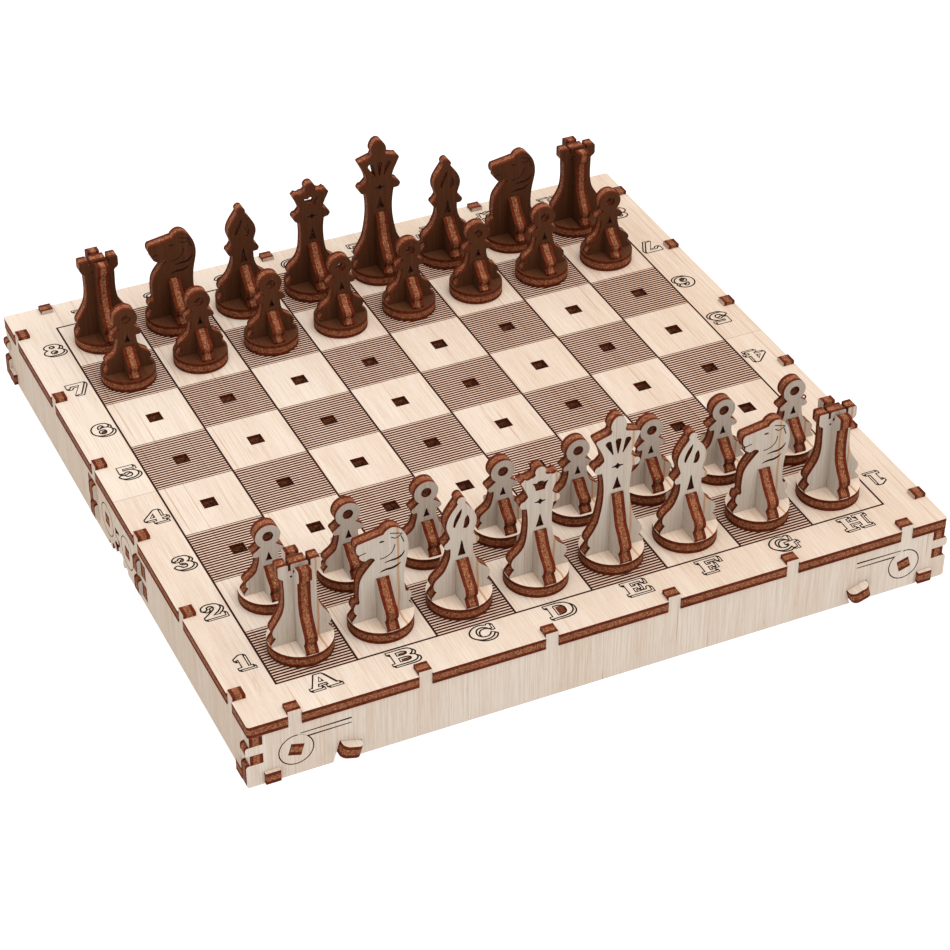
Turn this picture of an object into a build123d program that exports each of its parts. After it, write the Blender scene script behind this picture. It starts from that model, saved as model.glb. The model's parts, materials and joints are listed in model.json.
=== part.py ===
from build123d import *
import math
import os

# Chess set on a folding plywood board. Everything is cut from one sheet of plywood.
# Frame: X runs along the files, Y along the ranks, Z up; the origin is under the middle
# of the board, on the surface that its rim stands on. Sizes are in millimetres.

# Sheet and board
ply = 3.9
square = 24.0
squares_a_side = 8
border = 13.7
wall_height = 17.7
overhang = 0.3
seam_gap = 0.1
plate_corner = 0.9
slip = 0.05

# Wall tabs, corner fingers and braces
tab_width = 3.9
proud = 1.2
finger_depths = (3.45, 6.6, 9.95)
finger_round = 0.9
brace_tenon = 4.5
brace_reach = 14.0
brace_lift = 0.4

# Geared hinge
pivot_inset = 9.0
rim_gap = 0.1
hinge_disc_radius = 5.2
journal_gap = 0.1
link_radius = 6.0
link_gap = 0.3
gear_teeth = 12
gear_pressure = 25.0
gear_addendum = 1.05
gear_dedendum = 1.55
gear_backlash = 0.5
teeth_a_wall = 4
tooth_sink = 0.5
inner_wall_inset = 18.1
inner_tenon_height = 5.5
inner_tenon_lift = 2.5
inner_tenon_step = 7.5

# Latch levers
latch_rise = 8.75
latch_disc_radius = 5.0
latch_tilt = 16.5
latch_reach = 16.0
latch_hub_radius = 4.0
latch_tip_radius = 3.0
thumb_half_width = 3.1
thumb_reach = 3.0
thumb_corner = 1.8
thumb_tenon = 3.0
thumb_clearance = 0.3
strip_low = 12.6
strip_high = 14.05
strip_start = 1.5
strip_end = 16.2
kerf_wide = 0.35
kerf_narrow = 0.1

# Chess men
peg_slack = 0.1
rest_gap = 0.05
cross_prong = 0.45
man_base_radius = 9.4
pawn_base_radius = 8.7
king_cross_top = 20.1
queen_cross_top = 14.6
bishop_cross_top = 12.2
knight_cross_top = 13.7
rook_top = 26.8
pawn_cross_top = 8.8

field_half = square * squares_a_side / 2
half_side = field_half + border
wall_side = half_side - overhang
plate_top = wall_height + ply
slot = ply + 2 * slip
peg_hole = slot
peg_width = peg_hole - 2 * peg_slack
pivot_rise = pivot_inset - rim_gap
inner_face = wall_side - ply
tab_places = [field_half * share / 5 for share in (-5, -3, -1, 1, 3, 5)]
overshoot = 1.0


def panel(low_x, high_x, low_y, high_y):
    """A rectangle between two corners."""
    middle = Pos((low_x + high_x) / 2, (low_y + high_y) / 2)
    return middle * Rectangle(high_x - low_x, high_y - low_y)


def lying(face, low_z):
    """A sheet piece that lies flat, with its underside at low_z."""
    return extrude(Plane.XY.offset(low_z) * face, ply)


def facing_front(face, low_y, thickness=ply):
    """A sheet piece that stands across the board; the face is drawn in X and Z."""
    plane = Plane(origin=(0, low_y + thickness, 0), x_dir=(1, 0, 0), z_dir=(0, -1, 0))
    return extrude(plane * face, thickness)


def facing_side(face, low_x, thickness=ply):
    """A sheet piece that stands along the board; the face is drawn in Y and Z."""
    plane = Plane(origin=(low_x, 0, 0), x_dir=(0, 1, 0), z_dir=(1, 0, 0))
    return extrude(plane * face, thickness)


def flip_x(shape):
    return mirror(shape, about=Plane.YZ)


def flip_y(shape):
    return mirror(shape, about=Plane.XZ)


def trace(start, moves):
    """Edges from a start point: one point is a line, two an arc, more a smooth curve."""
    edges = []
    here = start
    for move in moves:
        if len(move) == 1:
            edges.append(Line(here, move[0]))
        elif len(move) == 2:
            edges.append(ThreePointArc(here, move[0], move[1]))
        else:
            edges.append(Spline(here, *move))
        here = move[-1]
    return edges


def outline(start, moves):
    """A closed face from traced edges, shut by a straight line."""
    edges = trace(start, moves)
    last = moves[-1][-1]
    if math.dist(last, start) > 1e-6:
        edges.append(Line(last, start))
    return make_face(edges)


def even_outline(start, moves):
    """A face that is the same on both sides, traced up its right edge to the middle line."""
    right = trace(start, moves)
    left = [mirror(edge, about=Plane.YZ) for edge in right]
    base = Line((-start[0], start[1]), start)
    return make_face(right + left + [base])


# Board pieces

finger_top, finger_middle, finger_bottom = [wall_height - depth for depth in finger_depths]
front_fingers = [(finger_middle, finger_top), (0, finger_bottom)]
side_fingers = [(finger_top, wall_height), (finger_bottom, finger_middle)]
brace_low = brace_lift
brace_high = brace_lift + ply


def wall_tabs(places):
    """Tabs that rise through the top plate and stand a little proud of it."""
    return [panel(place - tab_width / 2, place + tab_width / 2, wall_height, plate_top + proud)
            for place in places]


def top_plate_near():
    """Half of the playing surface, notched for the wall tabs, with a peg hole in each square."""
    face = panel(-half_side, half_side, -half_side, -seam_gap / 2)
    outer = face.vertices().filter_by(lambda corner: corner.Y < -field_half)
    face = fillet(outer, plate_corner)
    notch = tab_width + 2 * slip
    deep = overhang + ply + slip
    for place in tab_places:
        face -= Pos(place, -half_side + deep / 2) * Rectangle(notch, deep)
        if place < 0:
            face -= Pos(-half_side + deep / 2, place) * Rectangle(deep, notch)
            face -= Pos(half_side - deep / 2, place) * Rectangle(deep, notch)
    for column in range(squares_a_side):
        for row in range(squares_a_side // 2):
            middle = Pos((column + 0.5) * square - field_half, (row + 0.5) * square - field_half)
            face -= middle * Rectangle(peg_hole, peg_hole)
    return lying(face, wall_height)


def on_lever(face):
    """Moves a face drawn on a level lever, pivot at the origin, to the left latch."""
    return Pos(-field_half, latch_rise) * Rot(0, 0, -latch_tilt) * face


def end_wall_cuts():
    """Cuts of the left latch: disc hole, two kerfs of the spring strip, thumb notch, brace notch."""
    hole = Pos(-field_half, latch_rise) * Circle(latch_disc_radius + journal_gap)
    start_x = -field_half + strip_start
    end_x = -field_half + strip_end
    upper = outline((start_x, strip_high), [((end_x, strip_high),), ((end_x, strip_high + kerf_wide),),
                                            ((start_x, strip_high + kerf_narrow),)])
    lower = outline((start_x, strip_low), [((end_x, strip_low),), ((end_x, strip_low - kerf_narrow),),
                                           ((start_x, strip_low - kerf_wide),)])
    wide = thumb_half_width + thumb_clearance
    notch = on_lever(panel(latch_reach - wide, latch_reach + wide,
                           -latch_rise, ply / 2 + journal_gap))
    brace = panel(-inner_face, -inner_face + brace_tenon + slip, -overshoot, brace_high + slip)
    return [hole, upper, lower, notch, brace]


def front_wall():
    """End wall with proud rounded corner fingers, tabs, and the cuts of both latches."""
    face = panel(-inner_face, inner_face, 0, wall_height)
    for tab in wall_tabs(tab_places):
        face += tab
    for low, high in front_fingers:
        finger = panel(-wall_side - proud, -inner_face, low + slip, high - slip)
        outer = finger.vertices().filter_by(lambda corner: corner.X < -wall_side)
        finger = fillet(outer, finger_round)
        face += finger
        face += flip_x(finger)
    for cut in end_wall_cuts():
        face -= cut
        face -= flip_x(cut)
    return facing_front(face, -wall_side)


def gear_tooth():
    """One tooth of the hinge gear on the X axis, with involute flanks."""
    base_radius = pivot_inset * math.cos(math.radians(gear_pressure))
    root_radius = pivot_inset - gear_dedendum
    tip_radius = pivot_inset + gear_addendum
    half_thick = math.pi / (2 * gear_teeth) - gear_backlash / (2 * pivot_inset)

    def roll(angle):
        return math.tan(angle) - angle

    pitch_roll = roll(math.radians(gear_pressure))
    flank = [(root_radius - tooth_sink, half_thick + pitch_roll)]
    flank_steps = 6
    for step in range(flank_steps + 1):
        radius = base_radius + (tip_radius - base_radius) * step / flank_steps
        lean = math.acos(base_radius / radius)
        flank.append((radius, half_thick + pitch_roll - roll(lean)))
    upper = [(radius * math.cos(angle), radius * math.sin(angle)) for radius, angle in flank]
    lower = [(x, -y) for x, y in reversed(upper)]
    return make_face(Polyline(*upper, *lower, upper[0]))


def hinge_gear(first_tooth):
    """The toothed corner of a side wall around its pivot; the seam is towards -X of the face."""
    gear = Circle(pivot_inset - gear_dedendum)
    pitch = 360 / gear_teeth
    for number in range(teeth_a_wall):
        gear += Rot(0, 0, 180 + first_tooth + number * pitch) * gear_tooth()
    quarter = panel(-2 * pivot_inset, 0, -pivot_rise, gear_top)
    return gear & quarter


gear_top = pivot_inset * math.sin(math.radians(180 / gear_teeth))
inner_tenons = [(low, low + inner_tenon_height)
                for low in (inner_tenon_lift, inner_tenon_lift + inner_tenon_step)]


def side_wall_face(first_tooth):
    """A side wall drawn by its distance from the seam and its height."""
    face = panel(seam_gap / 2, inner_face, 0, wall_height)
    for low, high in side_fingers:
        face += panel(inner_face, wall_side, low, high)
    for tab in wall_tabs([place for place in tab_places if place > 0]):
        face += tab
    face -= panel(-overshoot, pivot_inset, -overshoot, pivot_rise + gear_top)
    face += Pos(pivot_inset, pivot_rise) * hinge_gear(first_tooth)
    face -= Pos(pivot_inset, pivot_rise) * Circle(hinge_disc_radius + journal_gap)
    for low, high in inner_tenons:
        face -= panel(inner_wall_inset - slip, inner_wall_inset + 2 * ply + slip,
                      low - slip, high + slip)
    face -= panel(inner_face - brace_tenon - slip, inner_face, -overshoot, brace_high + slip)
    return face


def side_wall_near_left():
    return facing_side(flip_x(side_wall_face(0)), -wall_side)


def side_wall_far_left():
    """The far wall's teeth stand half a pitch on, in the near wall's gaps."""
    return facing_side(side_wall_face(180 / gear_teeth), -wall_side)


def inner_walls_near():
    """Cross wall beside the hinge, with proud rounded tenons, and its doubler with flush ones."""
    wall = panel(-inner_face, inner_face, rim_gap, wall_height)
    doubler = panel(-inner_face, inner_face, rim_gap, wall_height)
    for low, high in inner_tenons:
        tenon = panel(-wall_side - proud, -inner_face, low, high)
        outer = tenon.vertices().filter_by(lambda corner: corner.X < -wall_side)
        tenon = fillet(outer, finger_round)
        flush = panel(-wall_side, -inner_face, low, high)
        wall += tenon
        wall += flip_x(tenon)
        doubler += flush
        doubler += flip_x(flush)
    wall_y = -inner_wall_inset - ply
    return [facing_front(wall, wall_y), facing_front(doubler, wall_y - ply)]


def corner_braces_near():
    """Rounded plates in the two outer corners, tenoned through both walls, clear of the levers."""
    quarter = Circle(brace_reach) & panel(0, brace_reach, 0, brace_reach)
    lever_depth = ply + 2 * link_gap
    plate = quarter - panel(brace_tenon, brace_reach, 0, lever_depth)
    plate += panel(0, brace_tenon - slip, -ply - proud, 0)
    plate += panel(-ply - proud, 0, 0, brace_tenon - slip)
    left = lying(Pos(-inner_face, -inner_face) * plate, brace_low)
    return [left, flip_x(left)]


# Hinge pieces, left side

link_x = -inner_face + link_gap


def hinge_link_left():
    """Link plate just inside the side walls, with a square hole at each pivot."""
    face = panel(-pivot_inset, pivot_inset, pivot_rise - link_radius, pivot_rise + link_radius)
    for place in (-pivot_inset, pivot_inset):
        face += Pos(place, pivot_rise) * Circle(link_radius)
    for place in (-pivot_inset, pivot_inset):
        face -= Pos(place, pivot_rise) * Rectangle(slot, slot)
    return facing_side(face, link_x)


def hinge_discs_left():
    """Journal discs that turn in the round holes of the two side walls."""
    disc = Circle(hinge_disc_radius) - Rectangle(slot, slot)
    return [facing_side(Pos(place, pivot_rise) * disc, -wall_side)
            for place in (-pivot_inset, pivot_inset)]


def hinge_pegs_left():
    """Square pegs that key each disc to the link."""
    length = link_x + ply + wall_side
    return [facing_side(Pos(place, pivot_rise) * Rectangle(ply, ply), -wall_side, length)
            for place in (-pivot_inset, pivot_inset)]


# Latch pieces, near left corner

lever_y = -inner_face + link_gap


def latch_lever_near_left():
    """Disc in the wall, arm behind the wall and the square peg that joins them."""
    key = Rectangle(slot, slot)
    disc = on_lever(Circle(latch_disc_radius) - key)
    tip = Pos(latch_reach, 0)
    rise = latch_hub_radius - latch_tip_radius
    lean = math.asin(rise / latch_reach)
    hub_point = (latch_hub_radius * math.sin(lean), latch_hub_radius * math.cos(lean))
    tip_point = (latch_reach + latch_tip_radius * math.sin(lean), latch_tip_radius * math.cos(lean))
    flanks = [hub_point, tip_point, (tip_point[0], -tip_point[1]), (hub_point[0], -hub_point[1])]
    arm = make_face(Polyline(*flanks, hub_point))
    arm += Circle(latch_hub_radius)
    arm += tip * Circle(latch_tip_radius)
    arm -= key
    arm -= tip * Rectangle(thumb_tenon + 2 * slip, slot)
    peg = on_lever(Rectangle(ply, ply))
    peg_length = lever_y + ply + wall_side
    return [facing_front(disc, -wall_side), facing_front(on_lever(arm), lever_y),
            facing_front(peg, -wall_side, peg_length)]


def thumb_tab_near_left():
    """Tab with rounded front corners, tilted with the lever, that a thumb presses towards the rim."""
    shoulder = lever_y - slip
    face = panel(-thumb_half_width, thumb_half_width, -wall_side - thumb_reach, shoulder)
    face = fillet(face.vertices().filter_by(lambda corner: corner.Y < -wall_side), thumb_corner)
    face += panel(-thumb_tenon / 2, thumb_tenon / 2, shoulder, lever_y + ply)
    tilt = math.radians(latch_tilt)
    tip_x = -field_half + latch_reach * math.cos(tilt)
    tip_z = latch_rise - latch_reach * math.sin(tilt)
    slab = extrude(Plane.XY.offset(-ply / 2) * face, ply)
    return Pos(tip_x, 0, tip_z) * Rot(0, latch_tilt, 0) * slab


# Chess men. Heights in the outlines are counted from the top of the man's base.

foot_start = (9.2, 0)
foot_moves = [((9.2, 0.8),), ((7.7, 2.7),), ((8.65, 4.6), (7.9, 6.6))]
pawn_foot_start = (7.8, 0)
pawn_foot_moves = [((7.8, 0.7),), ((6.5, 2.3),), ((7.25, 3.7), (6.6, 5.0))]


def tall_window(apex, base, half_width):
    """Narrow window with its point up and its sides drawn in."""
    waist = (half_width * 0.4, base + (apex - base) * 0.45)
    return even_outline((half_width, base), [(waist, (0, apex))])


def star_window(middle, half_width, half_height):
    """Four-pointed window with hollow sides."""
    hollow = (half_width * 0.28, half_height * 0.3)
    top = even_outline((half_width, 0), [(hollow, (0, half_height))])
    return Pos(0, middle) * (top + mirror(top, about=Plane.XZ))


def king_face():
    stem = [((6.9, 8.1), (6.1, 9.6), (5.5, 11.0)),
            ((4.8, 14.2), (4.2, 18.5), (4.1, 22.0), (4.4, 25.6), (4.8, 28.0))]
    collar = [((5.9, 28.0),), ((7.1, 29.3), (5.6, 30.6)), ((4.2, 32.0),)]
    crown = [((4.6, 33.9), (5.7, 36.4), (6.75, 38.6)), ((6.8, 39.3), (6.2, 39.6)), ((2.4, 40.7),)]
    knob = [((2.0, 41.7),), ((2.45, 42.8), (2.2, 44.3), (1.3, 45.7), (0, 46.3))]
    face = even_outline(foot_start, foot_moves + stem + collar + crown + knob)
    slot = even_outline((0.15, 0), [((0.95, 4.4),), ((0.7, 5.0), (0, 5.2))])
    slot_foot = 33.5
    face -= Pos(0, slot_foot) * slot
    for side in (-1, 1):
        face -= Pos(side * 1.5, slot_foot) * Rot(0, 0, -side * 21) * slot
    face -= star_window(29.3, 1.8, 0.9)
    face -= tall_window(25.5, 21.6, 1.25)
    return face


def queen_face():
    stem = [((6.7, 7.6), (5.6, 8.7), (4.8, 10.0)),
            ((4.2, 12.0), (3.85, 14.8), (3.7, 17.7), (3.85, 21.0), (4.1, 23.0))]
    collar = [((5.0, 23.2),), ((6.2, 24.4), (4.8, 25.7)), ((3.7, 26.9),)]
    crown = [((4.1, 28.2), (5.1, 30.4), (6.0, 32.3)), ((4.8, 33.3),), ((3.9, 32.8), (3.0, 33.2)),
             ((2.2, 33.2), (1.44, 33.9))]
    ball = [((1.65, 34.7), (0, 36.35))]
    face = even_outline(foot_start, foot_moves + stem + collar + crown + ball)
    face -= even_outline((1.4, 28.4), [((1.75, 29.8), (2.5, 31.2)), ((1.1, 31.0),), ((0.7, 31.5),),
                                       ((0, 31.55),)])
    face -= star_window(24.5, 1.7, 0.85)
    face -= tall_window(20.1, 15.9, 1.1)
    return face


def bishop_face():
    stem = [((6.9, 7.5), (5.8, 8.5), (4.8, 10.0)),
            ((4.1, 11.6), (3.6, 13.2), (3.4, 15.0), (3.4, 16.6))]
    collar = [((4.5, 16.6),), ((5.3, 17.7), (4.4, 18.9)), ((3.5, 20.2),)]
    mitre = [((3.9, 21.7), (4.5, 23.6), (4.5, 25.4), (3.5, 28.0), (2.1, 30.0), (1.1, 31.35))]
    ball = [((1.32, 32.1), (0, 33.42))]
    face = even_outline(foot_start, foot_moves + stem + collar + mitre + ball)
    face -= outline((-2.0, 23.5), [((-2.45, 23.8), (-2.5, 24.9), (-1.7, 27.3), (0, 29.6)),
                                   ((-0.1, 27.9), (-0.9, 26.0), (-2.0, 23.5))])
    face -= outline((0.4, 22.9), [((1.5, 22.6), (2.2, 23.5), (2.4, 25.0), (1.85, 26.9)),
                                  ((1.2, 26.2), (0.8, 24.8), (0.4, 22.9))])
    face -= tall_window(18.7, 13.6, 1.05)
    return face


def rook_face():
    stem = [((6.9, 8.2), (6.0, 9.7), (5.4, 11.0)), ((4.9, 13.2), (4.7, 17.0), (4.8, 22.0))]
    crown = [((5.3, 22.5),), ((6.1, 23.2), (6.25, 24.2)), ((6.25, 26.2),),
             ((6.1, 26.65), (5.6, rook_top)), ((3.6, rook_top),), ((3.35, 26.65), (3.3, 26.3)),
             ((3.3, 24.7),), ((2.5, 24.7),), ((2.5, 26.3),), ((2.4, 26.65), (2.1, rook_top)),
             ((0, rook_top),)]
    return even_outline(foot_start, foot_moves + stem + crown)


def knight_face():
    chest = [((-7.4, 6.2),), ((-6.85, 6.8),), ((-7.05, 8.6), (-6.95, 11.5), (-6.5, 14.3), (-4.8, 17.1),
                                               (-2.0, 20.1))]
    jaw = [((-2.8, 21.1), (-3.7, 21.2), (-4.8, 20.8), (-6.0, 21.4), (-6.6, 22.5), (-6.3, 23.2))]
    muzzle = [((-7.1, 23.8), (-7.45, 24.9), (-7.4, 26.1), (-6.9, 26.9))]
    head = [((0.7, 28.1),), ((1.5, 29.1), (3.4, 29.75), (5.2, 29.0), (6.9, 26.9), (7.9, 23.8), (8.0, 21.0),
                             (7.3, 17.4), (6.65, 13.4), (6.55, 10.2), (6.85, 6.8))]
    rear = [((7.4, 6.2),), ((7.9, 6.6),), ((8.65, 4.6), (7.7, 2.7)), ((9.2, 0.8),), ((9.2, 0),)]
    left_start = (-foot_start[0], foot_start[1])
    left_foot = [tuple((-x, z) for x, z in move) for move in foot_moves]
    face = outline(left_start, left_foot + chest + jaw + muzzle + head + rear)
    face -= outline((0.6, 18.3), [((2.4, 18.45), (4.3, 18.45), (5.9, 19.1), (6.9, 20.9)),
                                  ((5.9, 19.75), (4.4, 19.0), (2.8, 18.85), (0.6, 18.3))])
    face -= outline((-0.8, 15.4), [((1.2, 15.7), (3.3, 15.7), (4.7, 16.2), (5.7, 17.2)),
                                   ((4.6, 16.7), (3.1, 16.25), (1.2, 16.2), (-0.8, 15.4))])
    return face


def pawn_face():
    ring_middle = 18.65
    ring_radius = 3.75
    neck = (2.15, ring_middle - math.sqrt(ring_radius ** 2 - 2.15 ** 2))
    stem = [((5.3, 5.9), (4.2, 6.9), (3.6, 8.2)), ((3.2, 9.6), (2.95, 11.0), (2.9, 12.4))]
    collar = [((4.0, 12.4),), ((4.65, 13.3), (3.9, 14.2)), (neck,)]
    ring = [((ring_radius, ring_middle), (0, ring_middle + ring_radius))]
    face = even_outline(pawn_foot_start, pawn_foot_moves + stem + collar + ring)
    face -= Pos(0, ring_middle) * Circle(1.6)
    face -= tall_window(13.1, 10.5, 0.85)
    return face


def cross_face(start, sides, top):
    """A cross plate: foot and skirt, drawn in to a narrow flat top."""
    top_half = slot / 2 + cross_prong
    return even_outline(start, sides + [((top_half, top),), ((0, top),)])


def king_cross():
    skirt = [((7.0, 8.2), (6.0, 9.6), (5.1, 10.9)), ((4.4, 13.5), (3.4, 17.0), (2.7, 19.4))]
    return cross_face(foot_start, foot_moves + skirt, king_cross_top)


def queen_cross():
    skirt = [((6.7, 7.6), (5.6, 8.8), (4.7, 10.0)), ((4.0, 11.4), (3.2, 13.0), (2.6, 14.2))]
    return cross_face(foot_start, foot_moves + skirt, queen_cross_top)


def bishop_cross():
    skirt = [((6.8, 7.4), (5.8, 8.4), (4.6, 9.6)), ((3.9, 10.4), (3.2, 11.3), (2.6, 11.9))]
    return cross_face(foot_start, foot_moves + skirt, bishop_cross_top)


def knight_cross():
    skirt = [((6.8, 7.6), (5.8, 8.8), (4.8, 10.0)), ((4.0, 11.3), (3.2, 12.5), (2.6, 13.3))]
    return cross_face(foot_start, foot_moves + skirt, knight_cross_top)


def pawn_cross():
    skirt = [((5.4, 5.8), (4.2, 6.9), (3.5, 7.8)), ((3.2, 8.1), (2.9, 8.4), (2.6, 8.6))]
    return cross_face(pawn_foot_start, pawn_foot_moves + skirt, pawn_cross_top)


def man(face, cross, cross_top, base_radius):
    """A man at the origin: face plate, cross plate with its peg, and round base."""
    lap = cross_top / 2
    base_top = rest_gap + ply
    face = face - panel(-slot / 2, slot / 2, -overshoot, lap + slip)
    cross = cross - panel(-slot / 2, slot / 2, lap, cross_top + overshoot)
    peg_length = base_top + ply - peg_slack
    cross += panel(-peg_width / 2, peg_width / 2, -peg_length, 0)
    base = Circle(base_radius) - Rectangle(slot, peg_width + 2 * slip)
    return [Pos(0, 0, base_top) * facing_front(face, -ply / 2),
            Pos(0, 0, base_top) * facing_side(cross, -ply / 2),
            lying(base, rest_gap)]


men_designs = {
    "king": (king_face, king_cross, king_cross_top, man_base_radius),
    "queen": (queen_face, queen_cross, queen_cross_top, man_base_radius),
    "bishop": (bishop_face, bishop_cross, bishop_cross_top, man_base_radius),
    "knight": (knight_face, knight_cross, knight_cross_top, man_base_radius),
    "rook": (rook_face, rook_face, rook_top, man_base_radius),
    "pawn": (pawn_face, pawn_cross, pawn_cross_top, pawn_base_radius),
}

back_row = ["rook", "knight", "bishop", "queen", "king", "bishop", "knight", "rook"]
files = "abcdefgh"


def placed_men():
    """Every man on its starting square, named by its side, kind and file."""
    patterns = {}
    for kind, (face, cross, cross_top, radius) in men_designs.items():
        patterns[kind] = man(face(), cross(), cross_top, radius)
    men = {}
    for colour, back_rank, pawn_rank in (("white", 0, 1), ("black", 7, 6)):
        for column, kind in enumerate(back_row):
            x = (column + 0.5) * square - field_half
            for rank, name in ((back_rank, kind), (pawn_rank, "pawn")):
                place = Pos(x, (rank + 0.5) * square - field_half, plate_top)
                men[f"{colour}_{name}_{files[column]}"] = [place * piece for piece in patterns[name]]
    return men


def board_nodes():
    """Every board piece by name; the far half and the right side are turned copies."""
    nodes = {
        "top_plate_near": [top_plate_near()],
        "front_wall": [front_wall()],
        "inner_walls_near": inner_walls_near(),
        "corner_braces_near": corner_braces_near(),
    }
    far_names = {"top_plate_near": "top_plate_far", "front_wall": "back_wall",
                 "inner_walls_near": "inner_walls_far", "corner_braces_near": "corner_braces_far"}
    for near, far in far_names.items():
        nodes[far] = [flip_y(piece) for piece in nodes[near]]
    left_side = {
        "side_wall_near": [side_wall_near_left()],
        "side_wall_far": [side_wall_far_left()],
        "hinge_link": [hinge_link_left()],
        "hinge_discs": hinge_discs_left(),
        "hinge_pegs": hinge_pegs_left(),
        "latch_lever_near": latch_lever_near_left(),
        "thumb_tab_near": [thumb_tab_near_left()],
    }
    left_side["latch_lever_far"] = [flip_y(piece) for piece in left_side["latch_lever_near"]]
    left_side["thumb_tab_far"] = [flip_y(piece) for piece in left_side["thumb_tab_near"]]
    for name, pieces in left_side.items():
        nodes[f"{name}_left"] = pieces
        nodes[f"{name}_right"] = [flip_x(piece) for piece in pieces]
    return nodes


os.makedirs("parts", exist_ok=True)
for name, pieces in {**board_nodes(), **placed_men()}.items():
    solids = [solid for piece in pieces for solid in piece.solids()]
    whole = solids[0] if len(solids) == 1 else Compound(solids)
    export_step(whole, f"parts/{name}.step")
    print(name, len(solids))
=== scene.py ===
import bpy
import json
import math
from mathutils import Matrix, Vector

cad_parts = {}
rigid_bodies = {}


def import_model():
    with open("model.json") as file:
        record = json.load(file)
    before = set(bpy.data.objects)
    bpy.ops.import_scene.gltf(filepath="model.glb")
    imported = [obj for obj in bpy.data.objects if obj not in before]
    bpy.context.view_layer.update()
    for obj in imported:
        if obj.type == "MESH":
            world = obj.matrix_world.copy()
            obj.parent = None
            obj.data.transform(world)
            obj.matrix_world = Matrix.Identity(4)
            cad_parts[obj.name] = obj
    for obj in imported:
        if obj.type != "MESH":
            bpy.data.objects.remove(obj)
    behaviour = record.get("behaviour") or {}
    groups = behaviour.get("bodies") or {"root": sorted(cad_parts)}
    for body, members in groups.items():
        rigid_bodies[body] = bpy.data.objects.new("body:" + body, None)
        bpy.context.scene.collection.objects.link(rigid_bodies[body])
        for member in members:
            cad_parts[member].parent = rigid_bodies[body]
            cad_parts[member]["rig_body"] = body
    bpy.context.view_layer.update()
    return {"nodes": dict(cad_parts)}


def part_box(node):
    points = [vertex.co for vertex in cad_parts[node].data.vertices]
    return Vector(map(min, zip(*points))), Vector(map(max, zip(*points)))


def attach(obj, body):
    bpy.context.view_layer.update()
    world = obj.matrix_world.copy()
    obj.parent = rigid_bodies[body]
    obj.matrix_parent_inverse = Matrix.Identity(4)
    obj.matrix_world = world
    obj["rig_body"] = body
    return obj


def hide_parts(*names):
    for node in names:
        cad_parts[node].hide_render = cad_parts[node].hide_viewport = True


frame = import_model()


# Top plates: the two halves of the playing surface, sanded birch plywood cut and engraved by
# a laser. Dark squares are fine parallel lines, and every square has a hole for a man's peg.
# The cut leaves the edges brown, with the middle ply lighter than the two outer ones.

class Strand:
    """A value on its way through the nodes of a finish; sums of strands add Math nodes."""

    def __init__(self, tree, socket=None):
        self.tree = tree
        self.socket = socket

    def node(self, kind, settings=None, sockets=None, out=0):
        """Adds any node: its settings first, then the values or links of its sockets."""
        made = self.tree.nodes.new(kind)
        for name, value in (settings or {}).items():
            setattr(made, name, value)
        for name, value in (sockets or {}).items():
            if isinstance(value, Strand):
                self.tree.links.new(value.socket, made.inputs[name])
            else:
                made.inputs[name].default_value = value
        return Strand(self.tree, made.outputs[out])

    def math(self, operation, first, second=0.0):
        return self.node("ShaderNodeMath", {"operation": operation}, {0: first, 1: second})

    def __add__(self, other):
        return self.math("ADD", self, other)

    def __radd__(self, other):
        return self.math("ADD", other, self)

    def __sub__(self, other):
        return self.math("SUBTRACT", self, other)

    def __rsub__(self, other):
        return self.math("SUBTRACT", other, self)

    def __mul__(self, other):
        return self.math("MULTIPLY", self, other)

    def __rmul__(self, other):
        return self.math("MULTIPLY", other, self)

    def __truediv__(self, other):
        return self.math("DIVIDE", self, other)

    def __abs__(self):
        return self.math("ABSOLUTE", self)

    def whole(self):
        return self.math("FLOOR", self)

    def larger(self, other):
        return self.math("MAXIMUM", self, other)

    def rise(self, low, high):
        """Goes smoothly from 0 at low to 1 at high, or down where high is the smaller."""
        start, end, first, last = (low, high, 0.0, 1.0) if low < high else (high, low, 1.0, 0.0)
        return self.node("ShaderNodeMapRange", {"interpolation_type": "SMOOTHSTEP"},
                         {"Value": self, "From Min": start, "From Max": end,
                          "To Min": first, "To Max": last})

    def between(self, low, high):
        """The colour that this share of the way from one colour to another gives."""
        return self.node("ShaderNodeMix", {"data_type": "RGBA"}, {0: self, 6: low, 7: high}, out=2)

    def part(self, axis):
        return self.node("ShaderNodeSeparateXYZ", {}, {0: self}, out=axis)

    def noise(self, scale, detail=2.0, roughness=0.5, distortion=0.0):
        return self.node("ShaderNodeTexNoise", {},
                         {"Vector": self, "Scale": scale, "Detail": detail,
                          "Roughness": roughness, "Distortion": distortion})

    def chance(self):
        """A number from 0 to 1 that is drawn anew for each whole number."""
        return self.node("ShaderNodeTexWhiteNoise", {"noise_dimensions": "1D"}, {"W": self})


mm = 0.001


def tint(red, green, blue):
    """A colour read off a screen, as the linear values that a shader takes."""
    shares = [value / 255 for value in (red, green, blue)]
    linear = [share / 12.92 if share < 0.04045 else ((share + 0.055) / 1.055) ** 2.4
              for share in shares]
    return (*linear, 1.0)


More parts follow.
